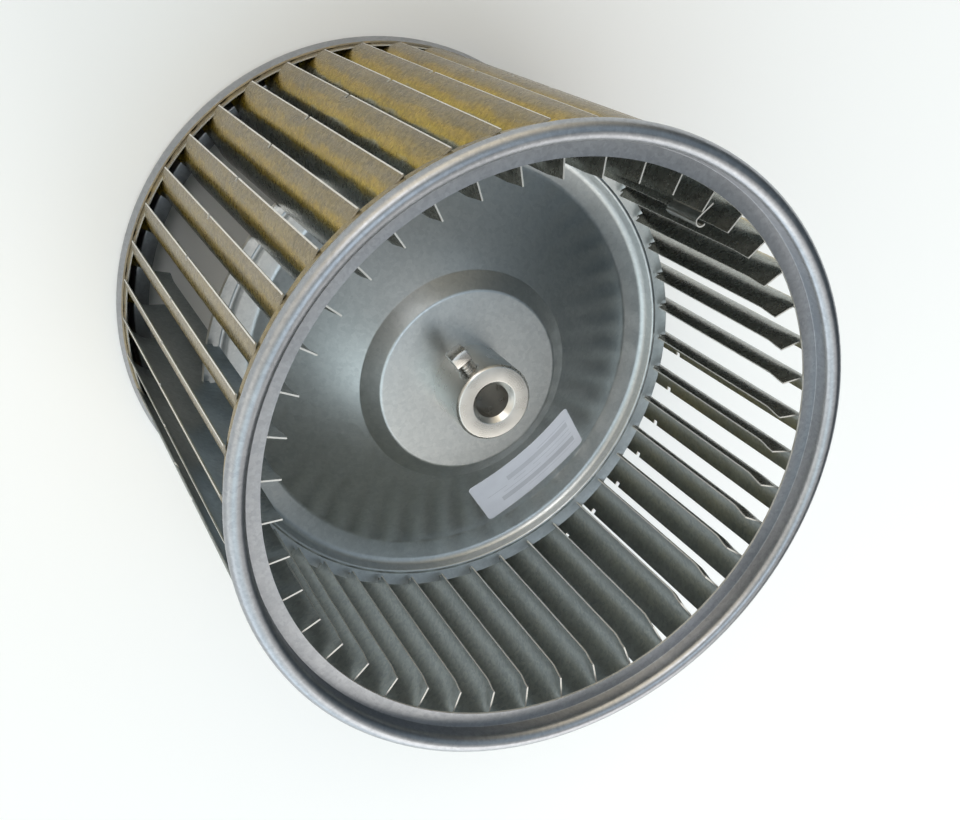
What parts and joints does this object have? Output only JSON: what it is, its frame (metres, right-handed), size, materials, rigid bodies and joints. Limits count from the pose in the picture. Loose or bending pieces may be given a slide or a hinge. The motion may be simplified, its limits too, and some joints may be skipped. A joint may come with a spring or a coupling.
{
  "type": "blower wheel",
  "caption": "Double-inlet blower wheel: cage of forward-curved sheet blades between rolled end rings, dished centre disc, bored hub with a square-head set screw.",
  "frame": {"origin": "on the shaft axis, at the plane the rear end ring stands on", "axes": "+Z along the shaft axis from the rear inlet to the front inlet, the side with the hub's face, the set screw and the label; a blade's inner edge lies 0.6 degrees from +X towards +Y"},
  "size_m": [0.219, 0.219, 0.1833],
  "materials": {
    "galvanised_steel": "zinc spangle",
    "hub_steel": "turned, dull",
    "screw_steel": "dark zinc",
    "spring_steel": "bright",
    "label_foil": "satin"
  },
  "bodies": {
    "wheel": {"front_ring": "galvanised_steel", "rear_ring": "galvanised_steel", "blade_strip": "galvanised_steel", "centre_disc": "galvanised_steel", "hub": "hub_steel", "balance_clip": "spring_steel", "label": "label_foil"},
    "screw": {"set_screw": "screw_steel"}
  },
  "joints": [
    {"name": "set_screw_travel", "type": "slide", "parent": "wheel", "child": "screw", "axis": [-0.6921, 0.7218, 0], "range_m": [-0.0045, 0.0065]}
  ]
}
